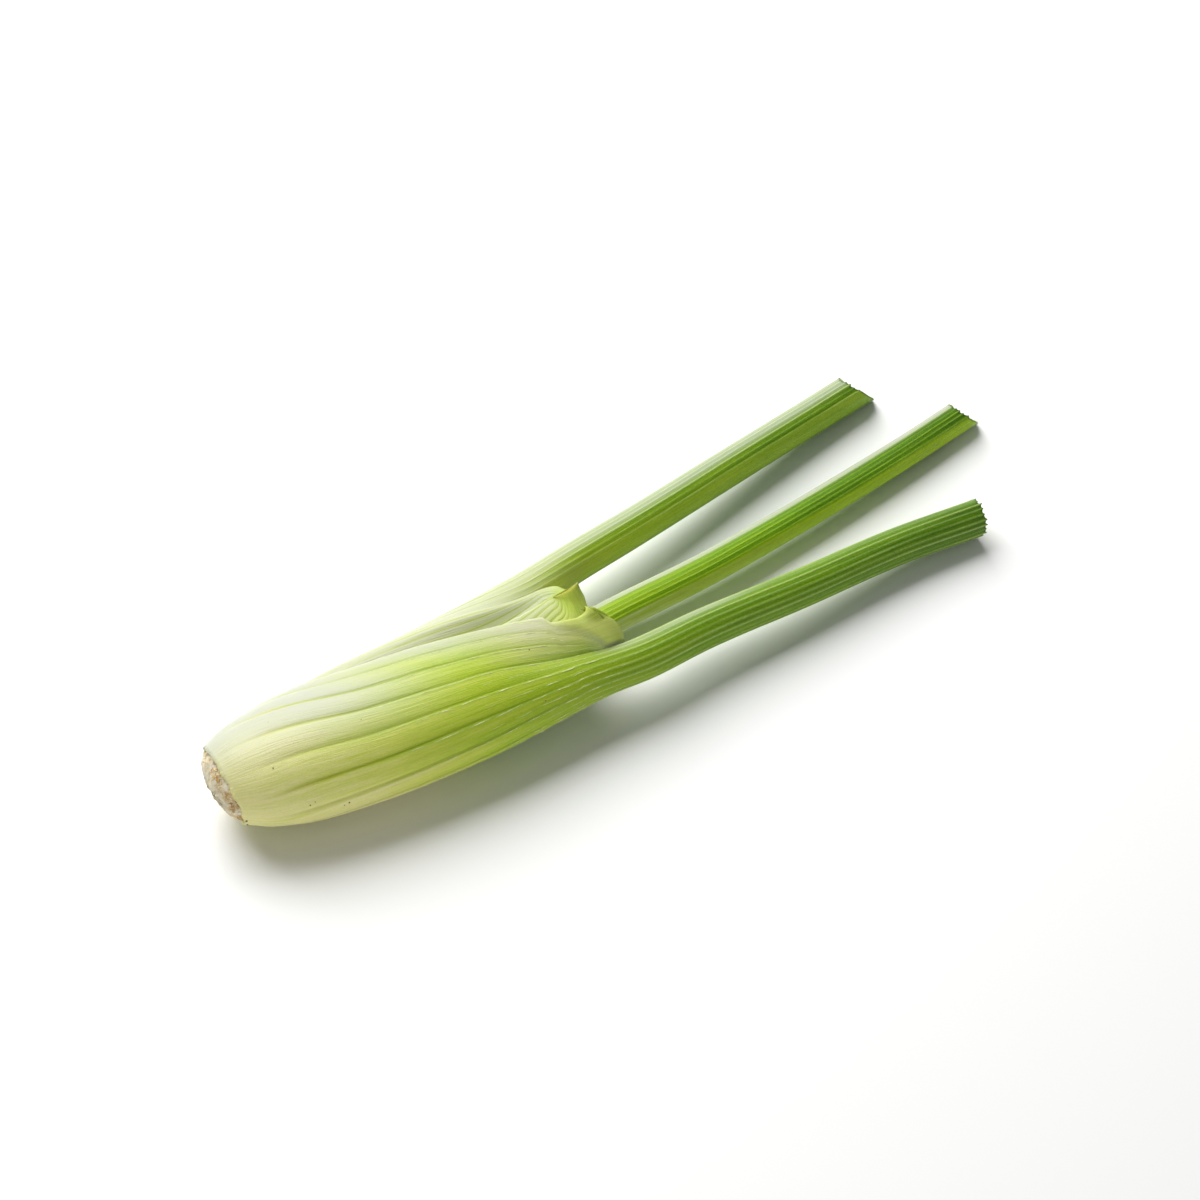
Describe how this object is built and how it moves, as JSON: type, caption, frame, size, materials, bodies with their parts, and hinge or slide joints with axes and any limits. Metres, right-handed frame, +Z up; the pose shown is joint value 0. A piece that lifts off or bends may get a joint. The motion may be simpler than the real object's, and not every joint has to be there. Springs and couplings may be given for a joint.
{
  "type": "baby fennel",
  "caption": "Raw baby fennel lying on a surface: a slender bulb of wrapped leaf sheaths that fan out into ribbed stalks, trimmed at both ends.",
  "frame": {"origin": "on the surface that the fennel lies on, under the middle of its bounding box", "axes": "+X from the root cut to the stalk tips, +Z up, +Y towards the side where the inner leaf's stalk lies"},
  "size_m": [0.2092, 0.0602, 0.0246],
  "materials": {
    "outer_leaf": "satin",
    "inner_leaf": "satin",
    "under_leaf": "satin",
    "stem_base": "matte"
  },
  "bodies": {
    "root": {"outer_leaf": "outer_leaf", "inner_leaf": "inner_leaf", "under_leaf": "under_leaf", "stem_base": "stem_base"}
  },
  "joints": []
}
